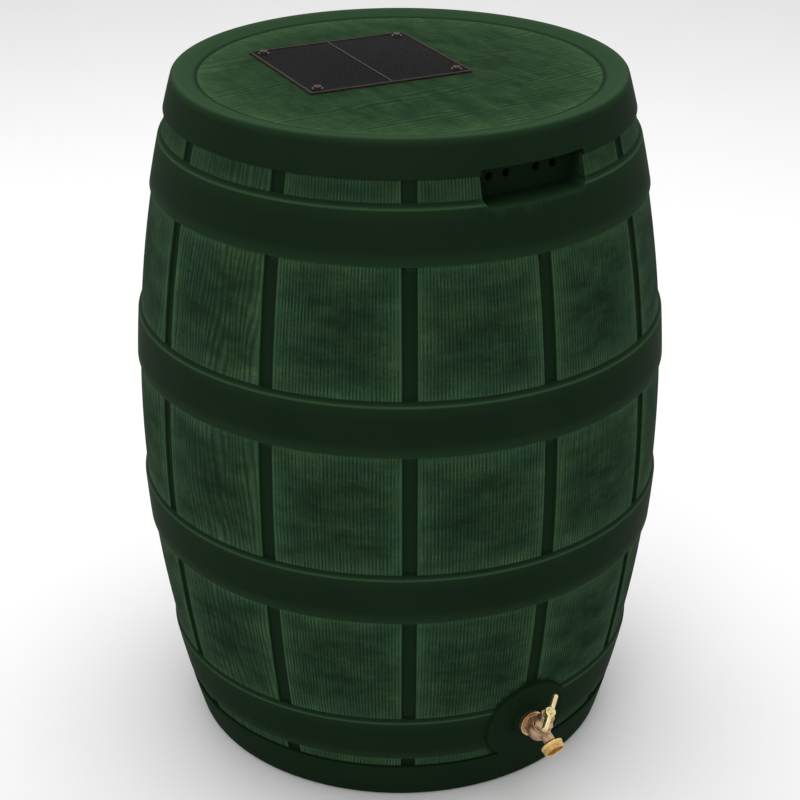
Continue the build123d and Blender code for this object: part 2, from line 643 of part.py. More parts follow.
with BuildPart() as tee_handle:
    with BuildSketch(Plane(origin=bar_end, x_dir=hub_plane.z_dir, z_dir=bar_axis)):
        Circle(HANDLE_R)
    extrude(amount=HANDLE_LENGTH)
    fillet(tee_handle.edges().filter_by(GeomType.CIRCLE), HANDLE_END_ROUND)
    with BuildSketch(stem_plane(HUB[0])):
        Circle(HUB_R)
    extrude(amount=HUB[1] - HUB[0])
    with BuildSketch(stem_plane(HUB[0])):
        Rectangle(SQUARE + 2 * FIT_CLEARANCE, SQUARE + 2 * FIT_CLEARANCE)
    extrude(amount=HUB[1] - HUB[0], mode=Mode.SUBTRACT)
write(tee_handle, "tee_handle")

with BuildPart() as handle_screw:
    with BuildSketch(stem_plane(HUB[1])):
        Circle(HANDLE_SCREW_HEAD_R)
    extrude(amount=HANDLE_SCREW_HEAD)
    rims = handle_screw.edges().filter_by(GeomType.CIRCLE)
    fillet(rims.sort_by_distance(stem_plane(2 * HUB[1]).origin)[0], HANDLE_SCREW_ROUND)
    with BuildSketch(stem_plane(HUB[1] + HANDLE_SCREW_HEAD)):
        Rectangle(3 * HANDLE_SCREW_HEAD_R, HANDLE_SCREW_SLOT[0])
    extrude(amount=-HANDLE_SCREW_SLOT[1], mode=Mode.SUBTRACT)
    with BuildSketch(stem_plane(HUB[1])):
        Circle(HANDLE_SCREW_R)
    extrude(amount=-HANDLE_SCREW_LENGTH)
write(handle_screw, "handle_screw")
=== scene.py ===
"""Rain barrel: the visible model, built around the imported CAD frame.

Metres, +Z up, the tap towards -Y. "Rho" is a distance from the barrel's axis towards the tap.
"""
import json
from math import asin, cos, pi, radians, sin, tau

import bmesh
import bpy
import numpy as np
from mathutils import Matrix, Vector


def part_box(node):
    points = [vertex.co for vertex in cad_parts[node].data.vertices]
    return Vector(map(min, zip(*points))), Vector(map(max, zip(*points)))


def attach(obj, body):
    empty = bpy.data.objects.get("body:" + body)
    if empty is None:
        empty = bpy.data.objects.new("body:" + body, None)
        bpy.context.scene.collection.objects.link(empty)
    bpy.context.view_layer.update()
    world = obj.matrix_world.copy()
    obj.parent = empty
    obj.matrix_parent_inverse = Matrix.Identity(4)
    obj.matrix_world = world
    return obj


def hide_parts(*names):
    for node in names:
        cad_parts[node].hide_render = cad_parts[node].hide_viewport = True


SMOOTH_SKIN, SMOOTH_CASTING = 40, 60       # degrees; sharper edges stay hard

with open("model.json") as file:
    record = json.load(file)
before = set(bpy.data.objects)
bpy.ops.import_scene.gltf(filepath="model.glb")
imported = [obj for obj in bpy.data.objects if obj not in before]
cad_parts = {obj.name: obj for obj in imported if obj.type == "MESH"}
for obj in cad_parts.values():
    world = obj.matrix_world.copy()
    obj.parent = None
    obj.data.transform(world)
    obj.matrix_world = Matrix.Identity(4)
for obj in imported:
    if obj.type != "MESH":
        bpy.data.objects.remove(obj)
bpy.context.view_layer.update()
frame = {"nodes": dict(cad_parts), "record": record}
nodes = frame["nodes"]
mounts = {m["name"]: m for m in frame["record"]["mounts"]}
shell_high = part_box("barrel_shell")[1]

# ---- the barrel's driving dimensions ------------------------------------------------------
HEIGHT = shell_high.z
BAND_PROUD = 0.0035
BELLY_R = 0.320
END_R = 0.261
WALL = 0.005
GROOVE_DEPTH = 0.0035
GROOVE_HALF = 0.008
STAVES = 12
HOOPS = ((0.0665, 0.1315), (0.280, 0.345), (0.495, 0.560), (0.7085, 0.7735))
HOOP_BEVEL = 0.005
BASE_BAND_TOP = 0.051
RIM_BAND_BOTTOM = 0.798
RIM_CORNER_R = 0.007
BASE_CORNER_R = 0.012
RIM_FLAT_R = 0.252
DISC_R = 0.236
DISC_Z = 0.834
CHANNEL = ((0.150, 0.0), (0.157, 0.006), (0.208, 0.006), (0.215, 0.0))
ARC_R = ((HEIGHT / 2) ** 2 + (BELLY_R - END_R) ** 2) / (2 * (BELLY_R - END_R))
ARC_CENTRE = BELLY_R - ARC_R
CORNER_REACH = 1.2              # how far a rounded end corner runs along its sides, in radii
STRIP_LEVELS = [BASE_BAND_TOP, *[z for hoop in HOOPS for z in hoop], RIM_BAND_BOTTOM]
STRIPS = list(zip(STRIP_LEVELS[::2], STRIP_LEVELS[1::2]))

# recess, boss and inlet
RECESS_HALF = 0.067
RECESS_Z = (0.7645, 0.805)
RECESS_BACK = 0.245
RECESS_CORNERS = (0.003, 0.003, 0.010, 0.010)   # the upper two, then the lower two
OVERFLOW_X = (-0.042, -0.0195, 0.0195, 0.042)
OVERFLOW_Z = 0.787
OVERFLOW_R = 0.00475
BOSS_Z = 0.098
BOSS_R = 0.056
BOSS_PROUD = 0.005
BOSS_ROOT = 0.012
BOSS_EDGE_R = 0.0035
BOSS_TILT = asin((HEIGHT / 2 - BOSS_Z) / ARC_R)
PAD_R = 0.022
PAD_FACE = 0.296
PAD_EDGE_R = 0.0015
SLEEVE_END = 0.258
INSERT_R = 0.0155
INSERT_BACK = 0.262
TAIL_R = 0.0131
TAP_Z = 0.0995
OUTSIDE_RHO = 0.33              # clear of the barrel on the tap's side
SCREEN_CENTRE = Vector((-0.0225, 0.055, 0))
SCREEN_TURN = radians(-6)
INLET_SIZE = (0.156, 0.138)
INLET_CORNER_R = 0.022
MESH_SIZE = (0.198, 0.180)
SKIN = "barrel_skin"
SLIVER = 1e-6                   # points nearer than this are merged
HAIR = 1e-6                     # slack for comparing sizes
RELIEF_SEED, STAVE_SEED = 11, 5


# ---- mesh tools ---------------------------------------------------------------------------
TAP_COLUMNS = 64
TAP_EDGE_STEPS = 5


def new_object(name, verts, faces):
    """Object from vertices and faces, linked to the scene."""
    mesh = bpy.data.meshes.new(name)
    mesh.from_pydata([tuple(v) for v in verts], [], [tuple(f) for f in faces])
    mesh.update()
    thing = bpy.data.objects.new(name, mesh)
    bpy.context.scene.collection.objects.link(thing)
    return thing


def outward(thing):
    """Turn a closed mesh's faces outwards."""
    work = bmesh.new()
    work.from_mesh(thing.data)
    bmesh.ops.recalc_face_normals(work, faces=work.faces)
    work.to_mesh(thing.data)
    work.free()
    return thing


def apply_modifiers(thing):
    """Replace an object's mesh by what its modifiers make of it."""
    bpy.context.view_layer.update()
    made = thing.evaluated_get(bpy.context.evaluated_depsgraph_get())
    mesh = bpy.data.meshes.new_from_object(made)
    thing.modifiers.clear()
    thing.data = mesh


def combine(thing, tools, operation):
    """Boolean each tool into a closed mesh, and remove the tools."""
    for tool in tools:
        step = thing.modifiers.new("cut", "BOOLEAN")
        step.operation = operation
        step.solver = "MANIFOLD"
        step.object = tool
    apply_modifiers(thing)
    for tool in tools:
        bpy.data.objects.remove(tool)


def clean_joints(thing):
    """Merge doubled points and remove the slivers that joining leaves, so that the mesh stays closed."""
    work = bmesh.new()
    work.from_mesh(thing.data)
    bmesh.ops.remove_doubles(work, verts=work.verts, dist=SLIVER)
    for _ in range(2):
        bmesh.ops.dissolve_degenerate(work, dist=SLIVER, edges=work.edges)
        bmesh.ops.triangulate(work, faces=work.faces)
    work.to_mesh(thing.data)
    work.free()


def lathe(name, outline, columns):
    """Closed solid of revolution about +Z. The outline starts and ends on the axis."""
    angles = np.arange(columns) * tau / columns
    verts, faces = [(0, 0, outline[0][1])], []
    for radius, z in outline[1:-1]:
        verts += [(radius * cos(a), radius * sin(a), z) for a in angles]
    verts.append((0, 0, outline[-1][1]))
    rings, last = len(outline) - 2, len(verts) - 1
    for j in range(columns):
        k = (j + 1) % columns
        faces.append((0, 1 + k, 1 + j))
        faces.append((last, last - columns + j, last - columns + k))
        for i in range(rings - 1):
            low, high = 1 + i * columns, 1 + (i + 1) * columns
            faces.append((low + j, low + k, high + k, high + j))
    return outward(new_object(name, verts, faces))


def bend_corner(before, corner, after, radius, steps):
    """Points of a rounded corner between two straight runs."""
    before, corner, after = (np.array(p, float) for p in (before, corner, after))
    one, two = before - corner, after - corner
    reach = min(radius, 0.45 * np.linalg.norm(one), 0.45 * np.linalg.norm(two))
    start = corner + one / np.linalg.norm(one) * reach
    end = corner + two / np.linalg.norm(two) * reach
    share = np.linspace(0, 1, steps + 1)[:, None]
    return (1 - share) ** 2 * start + 2 * share * (1 - share) * corner + share**2 * end


def rounded_outline(points, radii, steps):
    """Polyline with its inner corners rounded."""
    made = [np.array(points[0], float)]
    for i in range(1, len(points) - 1):
        made += list(bend_corner(points[i - 1], points[i], points[i + 1], radii[i - 1], steps))
    return made + [np.array(points[-1], float)]


def rounded_prism(name, size, corners, low, high, steps=6):
    """Upright prism over a rectangle with rounded corners, centred on the origin."""
    ring = []
    for turn, (sx, sy) in enumerate(((1, 1), (-1, 1), (-1, -1), (1, -1))):
        corner = corners[turn]
        centre_x, centre_y = sx * (size[0] / 2 - corner), sy * (size[1] / 2 - corner)
        for s in range(steps + 1):
            a = (turn + s / steps) * pi / 2
            ring.append((centre_x + corner * cos(a), centre_y + corner * sin(a)))
    count = len(ring)
    verts = [(x, y, z) for z in (low, high) for x, y in ring]
    faces = [tuple(range(count - 1, -1, -1)), tuple(range(count, 2 * count))]
    faces += [(i, (i + 1) % count, count + (i + 1) % count, count + i) for i in range(count)]
    return outward(new_object(name, verts, faces))


def cylinder_along_tap(name, radius, z, rho_near, rho_far, x=0.0, edge=0.0):
    """Level cylinder towards the tap, with its far edge rounded."""
    corner = [(radius, rho_far)]
    if edge:
        corner = bend_corner((radius, rho_near), (radius, rho_far), (0, rho_far), edge, TAP_EDGE_STEPS)
    made = lathe(name, [(0, rho_near), (radius, rho_near), *corner, (0, rho_far)], TAP_COLUMNS)
    made.data.transform(Matrix.Translation((x, 0, z)) @ Matrix.Rotation(pi / 2, 4, "X"))
    return made


# ---- barrel skin --------------------------------------------------------------------------
def belly_r(z, offset=0.0):
    """Radius of the belly curve at a height, moved out from it by an offset."""
    return ARC_CENTRE + np.sqrt((ARC_R + offset) ** 2 - (z - HEIGHT / 2) ** 2)


def divided(points, step):
    """Polyline with points added so that no run is longer than a step."""
    made = [points[0]]
    for a, b in zip(points, points[1:]):
        parts = max(1, int(np.ceil(np.linalg.norm(np.array(b) - np.array(a)) / step)))
        made += [np.array(a) + (np.array(b) - np.array(a)) * k / parts for k in range(1, parts + 1)]
    return made


STAVE_STEP = 0.0085
HOOP_STEP = 0.016
DISC_STEP = 0.006
UNDER_STEP = 0.02
STRIP_FOOT = 0.0004             # the grooves start this far above a strip's lower edge
EDGE_ROUND = 0.0013
BEVEL_ROUND = 0.0022
EDGE_STEPS = 2
CORNER_STEPS = 6
LEDGE_ROUNDS = (0.0035, 0.004)  # at the rim's inner edge, then at the disc
LEDGE_STEPS = 4
GROOVE_STOPS = np.array([0, 0.0066, 0.0072, 0.0076, 0.008, 0.0084, 0.0089, 0.010, 0.0118])
STAVE_STOPS = np.linspace(0, 1, 10)[1:]
GROOVE_SOFT = 0.0016            # width over which a groove's side falls
LEAST_COLUMN_R = 0.24           # nearer the axis the columns keep the angles they have here
FINE_RELIEF = {"across": (25, 75), "along": (-14, 14), "count": 18}
BROAD_RELIEF = {"across": (15, 45), "along": (-30, 30), "count": 10}
BROAD_SHARE = 0.7
LEAST_WAVE = 0.4
RELIEF_GAIN = 2.2               # brings the usual crests of many summed waves to about 1
STAVE_RELIEF = 0.00022
DISC_RELIEF = {"across": (3, 8), "along": (-22, 22), "count": 16}
DISC_RELIEF_SCALE = 40
DISC_SUNK = 0.0005
DISC_FADE = (0.004, 0.006)      # in from the disc's edge: where the relief starts, and over how far
HOLLOW_Z = np.linspace(0.06, 0.80, 36)
HOLLOW_COLUMNS = 120
HOLLOW_FOOT = (0.007, 0.012)    # bevel of the hollow's lower corner, in and up
HOLLOW_HEAD = (0.006, 0.008)
BOSS_COLUMNS = 160
SIDE_R = 0.2                    # everything further out than this belongs to the side wall


def side_rows():
    """Rows of the side wall as (radius, z, groove share), from the base corner to the rim corner."""
    corners = [(BAND_PROUD, BASE_CORNER_R * CORNER_REACH), (BAND_PROUD, BASE_BAND_TOP), (0, BASE_BAND_TOP)]
    radii = [EDGE_ROUND, EDGE_ROUND]
    for z0, z1 in HOOPS:
        corners += [(0, z0), (BAND_PROUD, z0), (BAND_PROUD, z1 - HOOP_BEVEL), (0, z1)]
        radii += [EDGE_ROUND, EDGE_ROUND, BEVEL_ROUND, EDGE_ROUND]
    corners += [(0, RIM_BAND_BOTTOM), (BAND_PROUD, RIM_BAND_BOTTOM)]
    corners.append((BAND_PROUD, HEIGHT - RIM_CORNER_R * CORNER_REACH))
    radii += [EDGE_ROUND, EDGE_ROUND]
    outline = rounded_outline(corners, radii, EDGE_STEPS)
    rows = []
    for a, b in zip(outline, outline[1:]):
        bare = max(a[0], b[0]) < HAIR
        rows += divided([a, b], STAVE_STEP if bare else HOOP_STEP)[:-1]
    rows.append(outline[-1])
    offset, z = np.array(rows).T
    share = np.zeros(len(z))
    for low, high in STRIPS:
        inside = (z > low + STRIP_FOOT) & (z <= high + HAIR)
        share[inside] = 1 - offset[inside] / BAND_PROUD
    return np.column_stack([belly_r(z, offset), z, np.clip(share, 0, 1)])


def skin_rows():
    """All rows of the skin, from the middle of the underside to the middle of the top."""
    side = side_rows()
    foot_out = (belly_r(0.0, BAND_PROUD), 0.0)
    foot = bend_corner((0, 0), foot_out, side[0, :2], BASE_CORNER_R * CORNER_REACH, CORNER_STEPS)
    under = divided([(0.0, 0.0), *CHANNEL, tuple(foot[0])], UNDER_STEP)[1:-1]
    rim_out = (belly_r(HEIGHT, BAND_PROUD), HEIGHT)
    rim = bend_corner(side[-1, :2], rim_out, (RIM_FLAT_R, HEIGHT), RIM_CORNER_R * CORNER_REACH, CORNER_STEPS)
    ledge = rounded_outline([tuple(rim[-1]), (RIM_FLAT_R, HEIGHT), (DISC_R, DISC_Z), (0.0, DISC_Z)],
                            LEDGE_ROUNDS, LEDGE_STEPS)
    top = divided(ledge, DISC_STEP)[1:-1]
    under, foot, rim, top = (np.column_stack([p, np.zeros(len(p))])
                             for p in (np.array(under), foot[:-1], rim[1:], np.array(top)))
    return np.vstack([under, foot, side, rim, top])


def half_sector(radius):
    """Angles of the columns from a groove's middle to the stave's middle, at a radius."""
    start = GROOVE_STOPS / radius
    return np.concatenate([start, start[-1] + (pi / STAVES - start[-1]) * STAVE_STOPS])


def groove_distance(angle, radius):
    """Distance around the barrel from the nearest groove's middle."""
    return np.abs((angle + pi / 2 + pi / STAVES) % (tau / STAVES) - pi / STAVES) * radius


def groove_share(distance):
    """Depth of the groove's section at a distance from its middle, from 0 to 1."""
    s = np.clip((GROOVE_HALF + GROOVE_SOFT / 2 - distance) / GROOVE_SOFT, 0, 1)
    return s * s * (3 - 2 * s)


def relief(rng, a, b, across, along, count):
    """Smooth seeded relief from -1 to 1 with its grain along b. Whole waves across keep it seamless."""
    total, weight = np.zeros_like(a), 0.0
    for _ in range(count):
        size = rng.uniform(LEAST_WAVE, 1)
        total += size * np.sin(rng.integers(*across) * a + rng.uniform(*along) * b + rng.uniform(0, tau))
        weight += size
    return total / weight * RELIEF_GAIN


def skin_grid():
    """The barrel's outer surface as a closed grid, with grooves and the relief of the wood."""
    rows = skin_rows()
    angles = []
    for radius in np.maximum(rows[:, 0], LEAST_COLUMN_R):
        half = half_sector(radius)
        sector = np.concatenate([half, 2 * pi / STAVES - half[-2:0:-1]])
        angles.append(np.concatenate([-pi / 2 + k * tau / STAVES + sector for k in range(STAVES)]))
    angle = np.array(angles)
    radius, z = (np.repeat(rows[:, k, None], angle.shape[1], axis=1) for k in (0, 1))
    to_groove = groove_distance(angle, radius)
    cut = rows[:, 2, None] * groove_share(to_groove)
    rng = np.random.default_rng(RELIEF_SEED)
    wood = rows[:, 2, None] * np.clip((to_groove - GROOVE_HALF) / (GROOVE_HALF / 2), 0, 1)
    grain = relief(rng, angle, z, **FINE_RELIEF) + BROAD_SHARE * relief(rng, angle, z, **BROAD_RELIEF)
    radius = radius - cut * GROOVE_DEPTH + wood * grain * STAVE_RELIEF
    x, y = radius * np.cos(angle), radius * np.sin(angle)
    on_disc = np.clip((DISC_R - DISC_FADE[0] - radius) / DISC_FADE[1], 0, 1) * (z > DISC_Z - HAIR)
    swirl = relief(rng, y * DISC_RELIEF_SCALE, x, **DISC_RELIEF)
    z = z - on_disc * (0.5 + 0.5 * np.clip(swirl, -1, 1)) * DISC_SUNK
    return np.stack([x, y, z], axis=-1)


def closed_grid(name, grid):
    """Closed mesh from a grid of rings, with a point at each end on the axis."""
    rings, columns = grid.shape[:2]
    verts = np.concatenate([grid.reshape(-1, 3), [(0, 0, grid[0, 0, 2])], [(0, 0, grid[-1, 0, 2])]])
    index = np.arange(rings * columns).reshape(rings, columns)
    after = np.roll(index, -1, axis=1)
    quads = np.stack([index[:-1], after[:-1], after[1:], index[1:]], axis=-1).reshape(-1, 4)
    bottom, top = rings * columns, rings * columns + 1
    fans = [(bottom, after[0, j], index[0, j]) for j in range(columns)]
    fans += [(top, index[-1, j], after[-1, j]) for j in range(columns)]
    return new_object(name, verts, quads.tolist() + fans)


def hollow():
    """The space inside the barrel, one wall in from its outside."""
    side = side_rows()
    z = np.array([WALL + HOLLOW_FOOT[1], *HOLLOW_Z, HEIGHT - WALL - HOLLOW_HEAD[1]])
    levels = np.interp(z, side[:, 1], side[:, 0]) - WALL
    outline = [(0, WALL), (CHANNEL[0][0] - WALL, WALL), (CHANNEL[1][0] - WALL, WALL + CHANNEL[1][1]),
               (CHANNEL[2][0] + WALL, WALL + CHANNEL[2][1]), (CHANNEL[3][0] + WALL, WALL),
               (levels[0] - HOLLOW_FOOT[0], WALL), *zip(levels, z),
               (levels[-1] - HOLLOW_HEAD[0], HEIGHT - WALL),
               (RIM_FLAT_R, HEIGHT - WALL), (DISC_R, DISC_Z - WALL), (0, DISC_Z - WALL)]
    made = lathe("hollow", outline, HOLLOW_COLUMNS)
    points = np.array([v.co for v in made.data.vertices])
    angle, radius = np.arctan2(points[:, 1], points[:, 0]), np.hypot(points[:, 0], points[:, 1])
    to_groove = groove_distance(angle, radius)
    in_strip = sum((points[:, 2] > low - WALL) & (points[:, 2] < high + WALL) for low, high in STRIPS) > 0
    squeeze = np.where(in_strip & (radius > SIDE_R), (to_groove < GROOVE_HALF + WALL) * GROOVE_DEPTH, 0)
    points[:, :2] *= (1 - squeeze / np.maximum(radius, SIDE_R))[:, None]
    made.data.vertices.foreach_set("co", points.ravel())
    return made


def boss_frame():
    """Place of the boss's face, square to the belly."""
    turn = Matrix.Rotation(pi / 2 + BOSS_TILT, 4, "X")
    return Matrix.Translation((0, -belly_r(BOSS_Z, BOSS_PROUD), BOSS_Z)) @ turn


def make_skin():
    """The barrel's moulding: outer grid, hollow, boss, recess and openings."""
    skin = closed_grid(SKIN, skin_grid())
    width, height = 2 * RECESS_HALF, RECESS_Z[1] - RECESS_Z[0]
    recess_place = Matrix.Translation((0, 0, sum(RECESS_Z) / 2)) @ Matrix.Rotation(pi / 2, 4, "X")
    bulge = rounded_prism("bulge", (width + 2 * WALL, height + 2 * WALL), (RECESS_CORNERS[0],) * 4,
                          RECESS_BACK - WALL, OUTSIDE_RHO)
    bulge.data.transform(recess_place)
    inside = bpy.data.objects.new("inside", skin.data.copy())
    bpy.context.scene.collection.objects.link(inside)
    combine(bulge, [inside], "INTERSECT")
    edge = bend_corner((BOSS_R, -BOSS_ROOT), (BOSS_R, 0), (0, 0), BOSS_EDGE_R, CORNER_STEPS)
    boss = lathe("boss", [(0, -BOSS_ROOT), (BOSS_R, -BOSS_ROOT), *edge, (0, 0)], BOSS_COLUMNS)
    boss.data.transform(boss_frame())
    pad = cylinder_along_tap("pad", PAD_R, TAP_Z, SLEEVE_END, PAD_FACE, edge=PAD_EDGE_R)
    combine(skin, [hollow()], "DIFFERENCE")
    combine(skin, [bulge, boss, pad], "UNION")
    recess = rounded_prism("recess", (width, height), RECESS_CORNERS, RECESS_BACK, OUTSIDE_RHO)
    recess.data.transform(recess_place)
    inlet = rounded_prism("inlet", INLET_SIZE, (INLET_CORNER_R,) * 4, DISC_Z - 2 * WALL, HEIGHT)
    inlet.data.transform(Matrix.Translation(SCREEN_CENTRE) @ Matrix.Rotation(SCREEN_TURN, 4, "Z"))
    holes = [
        cylinder_along_tap("overflow", OVERFLOW_R, OVERFLOW_Z, RECESS_BACK - 2 * WALL, RECESS_BACK + WALL, x)
        for x in OVERFLOW_X
    ]
    seat = cylinder_along_tap("seat", INSERT_R, TAP_Z, INSERT_BACK, OUTSIDE_RHO)
    lip = cylinder_along_tap("lip", TAIL_R, TAP_Z, SLEEVE_END - WALL, INSERT_BACK + WALL)
    combine(skin, [recess, inlet, *holes, seat, lip], "DIFFERENCE")
    clean_joints(skin)
    return skin


def bell(distance, width):
    """1 at no distance, falling smoothly to nothing over a few widths."""
    return np.exp(-((distance / width) ** 2))


EDGE_HIGHLIGHT_WIDTH = 0.0014              # width of the painted highlight line along a moulded edge
EDGE_MARGIN = 0.0006            # the wood grain stops this far inside its strip
TOP_STRIP_WOOD = 0.7
# strengths of the painted highlight lines: at a hoop's lower edge, beside the grooves (partly dry-brushed
# paint there), and along the recess's lower lip
LOW_EDGE_SHARE = 0.55
GROOVE_EDGE_SHARE = 0.8
GROOVE_EDGE_PLACE = 0.0098
RECESS_LIP_SHARE = 0.25
# share of the painted highlight on the rim's flat top
RIM_TOP_HIGHLIGHT_SHARE = 0.6
# width of the painted highlight on the rim's rounded top corner
RIM_HIGHLIGHT_WIDTH = 0.004
RINGED_STAVES = [8, 9]          # staves of flat-sawn wood, left of the tap
RINGED, DISC_RINGED = 0.9, 0.65
WORN_REACH = {"disc": 0.03, "stave": 0.016}
WOOD_START, WOOD_FADE = 0.0078, 0.0012     # from a groove's middle
LEVEL_SLACK = 0.0012            # a point on a stave or the disc is at most this far from its plain level
SIDE_SPAN = (0.02, HEIGHT - 0.01)
GROOVE_SLACK = 0.0008
BOSS_MARGIN = 0.001
RIM_TOP_START, RIM_TOP_FADE = 0.001, 0.003
GRAIN_R = 0.3                   # turns angles into lengths across the grain
GRAIN_SLIDE = 3                 # each stave's own stretch of grain starts within this length
PLAIN_KIND = 0.5
DISC_GRAIN_SHIFT = (7, 5)


def edge_highlight_mask(x, y, z, radius, outside, strips):
    """Painted highlight: lighter lines where the moulding's edges catch the light, and a lighter band on the
    rim's top; beside the grooves the lines are partly the dry-brushed paint of the stave edges.
    """
    level = np.zeros(len(z))
    for low, high in HOOPS:
        level = np.maximum(level, bell(z - high + HOOP_BEVEL, EDGE_HIGHLIGHT_WIDTH))
        level = np.maximum(level, LOW_EDGE_SHARE * bell(z - low, EDGE_HIGHLIGHT_WIDTH))
    corner = RECESS_CORNERS[2]
    beside, below = np.abs(x) - RECESS_HALF + corner, RECESS_Z[0] + corner - z
    lip = np.hypot(np.clip(beside, 0, None), np.clip(below, 0, None)) - corner
    level = np.maximum(level, np.where((below > 0) & (y < 0), RECESS_LIP_SHARE * bell(lip, EDGE_HIGHLIGHT_WIDTH), 0))
    to_groove = groove_distance(np.arctan2(y, x), radius)
    groove = GROOVE_EDGE_SHARE * strips * bell(to_groove - GROOVE_EDGE_PLACE, EDGE_HIGHLIGHT_WIDTH)
    rim_r = belly_r(HEIGHT) + BAND_PROUD - RIM_HIGHLIGHT_WIDTH
    rim = bell(np.hypot(radius - rim_r, z - HEIGHT + RIM_HIGHLIGHT_WIDTH / 2), RIM_HIGHLIGHT_WIDTH)
    raised = (z > DISC_Z + DISC_SUNK) & (radius < END_R - RIM_HIGHLIGHT_WIDTH / 2)
    rim_top_highlight = np.clip((radius - DISC_R - RIM_TOP_START) / RIM_TOP_FADE, 0, 1) * raised
    return np.maximum.reduce([groove, level * outside, rim, RIM_TOP_HIGHLIGHT_SHARE * rim_top_highlight])


def paint_skin(skin):
    """Per-point masks and grain directions for the barrel's material."""
    mesh = skin.data
    count = len(mesh.vertices)
    points = np.empty(count * 3)
    mesh.vertices.foreach_get("co", points)
    x, y, z = points.reshape(-1, 3).T
    radius, angle = np.hypot(x, y), np.arctan2(y, x)
    offset = radius - belly_r(np.clip(z, 0, HEIGHT))
    stave = np.floor((angle + pi / 2) % tau / (tau / STAVES)).astype(int) % STAVES
    to_groove = groove_distance(angle, radius)
    across = (z - BOSS_Z) * cos(BOSS_TILT) - (-y - belly_r(BOSS_Z)) * sin(BOSS_TILT)
    off_boss = (np.hypot(x, across) > BOSS_R + BOSS_MARGIN) | (y > 0)
    outside = (offset > -GROOVE_DEPTH - GROOVE_SLACK) & (z > SIDE_SPAN[0]) & (z < SIDE_SPAN[1])
    strip = np.zeros(count)
    for low, high in STRIPS:
        share = 1.0 if high < RIM_BAND_BOTTOM else TOP_STRIP_WOOD
        strip = np.maximum(strip, share * ((z > low + EDGE_MARGIN) & (z < high - EDGE_MARGIN)))
    strip *= outside & off_boss & (np.abs(offset) < LEVEL_SLACK)
    disc = (z > DISC_Z - LEVEL_SLACK) & (radius < DISC_R - DISC_SUNK)
    wood = np.where(disc, 1.0, strip * np.clip((to_groove - WOOD_START) / WOOD_FADE, 0, 1))
    # the 'edge' mask is a painted highlight along the moulding's edges, partly dry-brushed paint beside the
    # grooves
    edge = np.where(disc, 0, edge_highlight_mask(x, y, z, radius, outside & off_boss, strip))
    # each stave is cut from its own stretch of grain
    rng = np.random.default_rng(STAVE_SEED)
    slide, character = rng.uniform(0, GRAIN_SLIDE, (STAVES, 2)), rng.uniform(0, PLAIN_KIND, STAVES)
    character[RINGED_STAVES] = RINGED
    grain = np.column_stack([angle * GRAIN_R + slide[stave, 0], z + slide[stave, 1], np.zeros(count)])
    along, side = DISC_GRAIN_SHIFT
    grain[disc] = np.column_stack([y[disc] + along, x[disc] + side, np.ones(disc.sum())])
    kind = np.where(disc, DISC_RINGED, character[stave])
    # how near a point is to the border of its stave or disc
    border = to_groove - GROOVE_HALF
    for low, high in STRIPS:
        inside = (z > low) & (z < high)
        border[inside] = np.minimum(border, np.minimum(z - low, high - z))[inside]
    border = np.where(disc, DISC_R - radius, border)
    worn = np.exp(-np.clip(border, 0, 1) / np.where(disc, WORN_REACH["disc"], WORN_REACH["stave"]))
    for name, values in (("wood", wood), ("edge", edge), ("kind", kind), ("worn", worn)):
        layer = mesh.attributes.new(name, "FLOAT", "POINT")
        layer.data.foreach_set("value", values.astype(np.float32))
    layer = mesh.attributes.new("grain", "FLOAT_VECTOR", "POINT")
    layer.data.foreach_set("vector", grain.astype(np.float32).ravel())


def smooth(thing, degrees):
    """Smooth shading, with edges sharper than an angle kept hard."""
    thing.data.shade_smooth()
    thing.data.set_sharp_from_angle(angle=radians(degrees))


# ---- screen mesh --------------------------------------------------------------------------
STRAND_PITCH = 0.0020
STRAND_WIDTH = 0.0011
STRAND_THICK = 0.00026
WEAVE_RISE = 0.00022


def strands(count, crossings, length, lift):
    """Woven ribbons along +X as vertices and faces, each rising and falling over the crossings."""
    verts, faces = [], []
    for s in range(count):
        y = (s - (count - 1) / 2) * STRAND_PITCH
        first = len(verts)
        stops = np.linspace(-length / 2, length / 2, crossings)
        for k, x in enumerate(stops):
            rise = lift * WEAVE_RISE * (1 if (s + k) % 2 else -1)
            for dy, dz in ((-1, 1), (1, 1), (1, -1), (-1, -1)):
                verts.append((x, y + dy * STRAND_WIDTH / 2, rise + dz * STRAND_THICK / 2))
        for k in range(crossings - 1):
            a, b = first + 4 * k, first + 4 * (k + 1)
            faces += [(a + i, a + (i + 1) % 4, b + (i + 1) % 4, b + i) for i in range(4)]
        end = first + 4 * (crossings - 1)
        faces += [tuple(first + i for i in (3, 2, 1, 0)), tuple(end + i for i in range(4))]
    return verts, faces


def make_mesh_panel():
    """The screen's cloth, woven from two sets of ribbons."""
    along, across = (round(s / STRAND_PITCH) for s in MESH_SIZE)
    first, first_faces = strands(across, along, MESH_SIZE[0], 1)
    second, second_faces = strands(along, across, MESH_SIZE[1], -1)
    turned = [(-y, x, z) for x, y, z in second]
    shift = len(first)
    faces = first_faces + [tuple(i + shift for i in f) for f in second_faces]
    panel = outward(new_object("woven_screen", first + turned, faces))
    low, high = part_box("screen_mesh")
    centre = Matrix.Translation((*SCREEN_CENTRE.xy, (low.z + high.z) / 2))
    panel.data.transform(centre @ Matrix.Rotation(SCREEN_TURN, 4, "Z"))
    return panel


# ---- tap castings -------------------------------------------------------------------------
CAST_VOXEL = 0.00045
CAST_SOFTENING = {"factor": 0.5, "iterations": 3}


